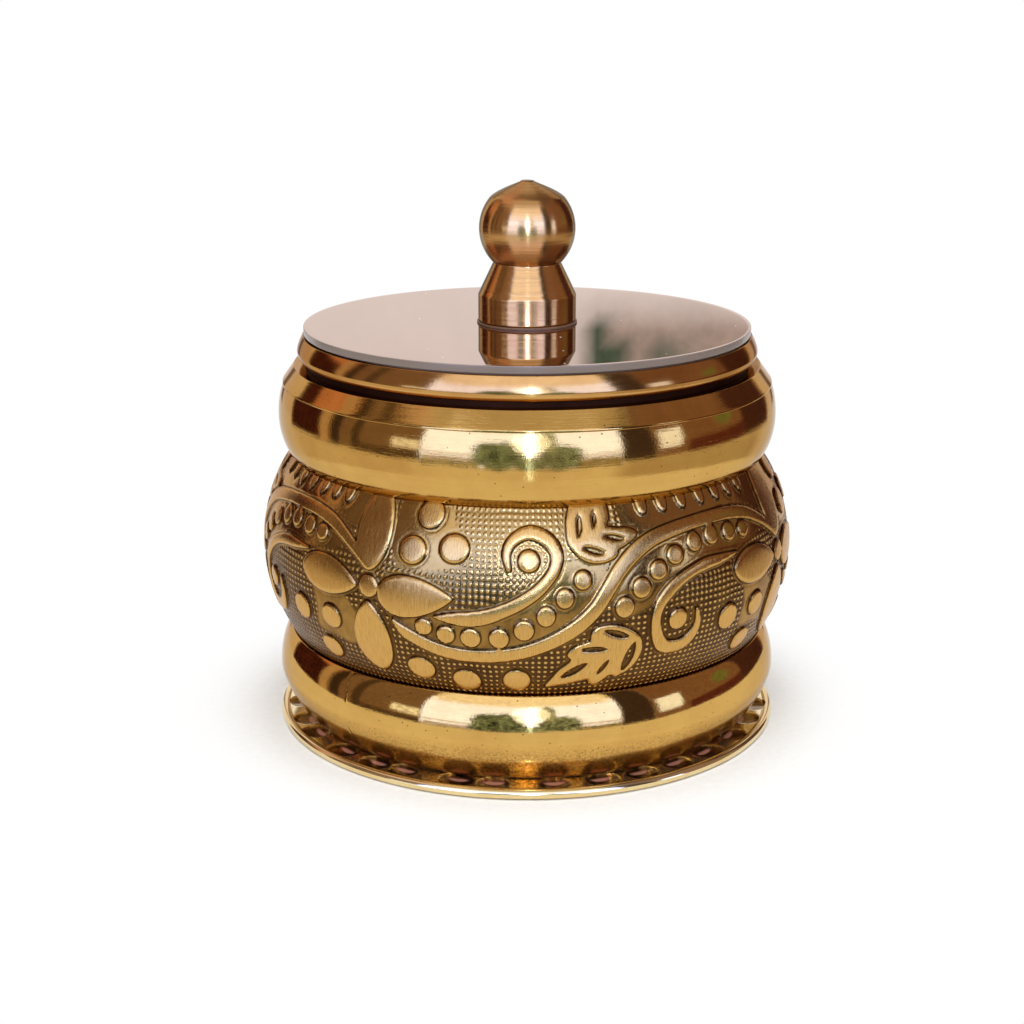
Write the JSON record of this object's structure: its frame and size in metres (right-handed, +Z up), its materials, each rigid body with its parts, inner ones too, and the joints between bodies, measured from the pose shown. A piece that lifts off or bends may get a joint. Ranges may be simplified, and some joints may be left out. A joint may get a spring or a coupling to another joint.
{
  "type": "kumkum box",
  "caption": "Small round brass box for vermilion powder, with polished beads, an embossed band and a mirror-topped lid that lifts off by a turned knob.",
  "frame": {"origin": "on the ground at the centre of the foot", "axes": "+Z up along the box's axis; -Y towards the side the picture shows"},
  "size_m": [0.0752, 0.0752, 0.0762],
  "materials": {
    "foot_plate": "polished, hammered, darkened in the dimples",
    "inner_cup": "plain spun, lightly tarnished",
    "lower_bead": "polished, with sparse fine pits",
    "embossed_band": "embossed, dark brown patina in the ground, raised figures wiped bright",
    "upper_bead": "polished, with sparse fine pits",
    "lid_shell": "polished, warmer in tone",
    "lid_collar": "plain, lightly tarnished",
    "mirror_cement": "matt grey cement",
    "mirror_glass": "silvered glass, very slightly pink",
    "knob_washer": "clear soft plastic, matt",
    "knob": "turned, fine lines round it",
    "knob_screw": "zinc plated",
    "screw_washer": "zinc plated"
  },
  "bodies": {
    "box": {"foot_plate": "foot_plate", "inner_cup": "inner_cup", "lower_bead": "lower_bead", "embossed_band": "embossed_band", "upper_bead": "upper_bead"},
    "lid_lifter": {"screw_washer": "screw_washer"},
    "lid": {"lid_shell": "lid_shell", "lid_collar": "lid_collar", "mirror_cement": "mirror_cement", "mirror_glass": "mirror_glass", "knob_washer": "knob_washer", "knob": "knob", "knob_screw": "knob_screw"}
  },
  "joints": [
    {"name": "lid_lift", "type": "slide", "parent": "box", "child": "lid_lifter", "axis": [0, 0, 1], "range_m": [0, 0.03]},
    {"name": "lid_turn", "type": "hinge", "parent": "lid_lifter", "child": "lid", "pos_m": [0, 0, 0.05215], "axis": [0, 0, 1], "continuous": true}
  ]
}
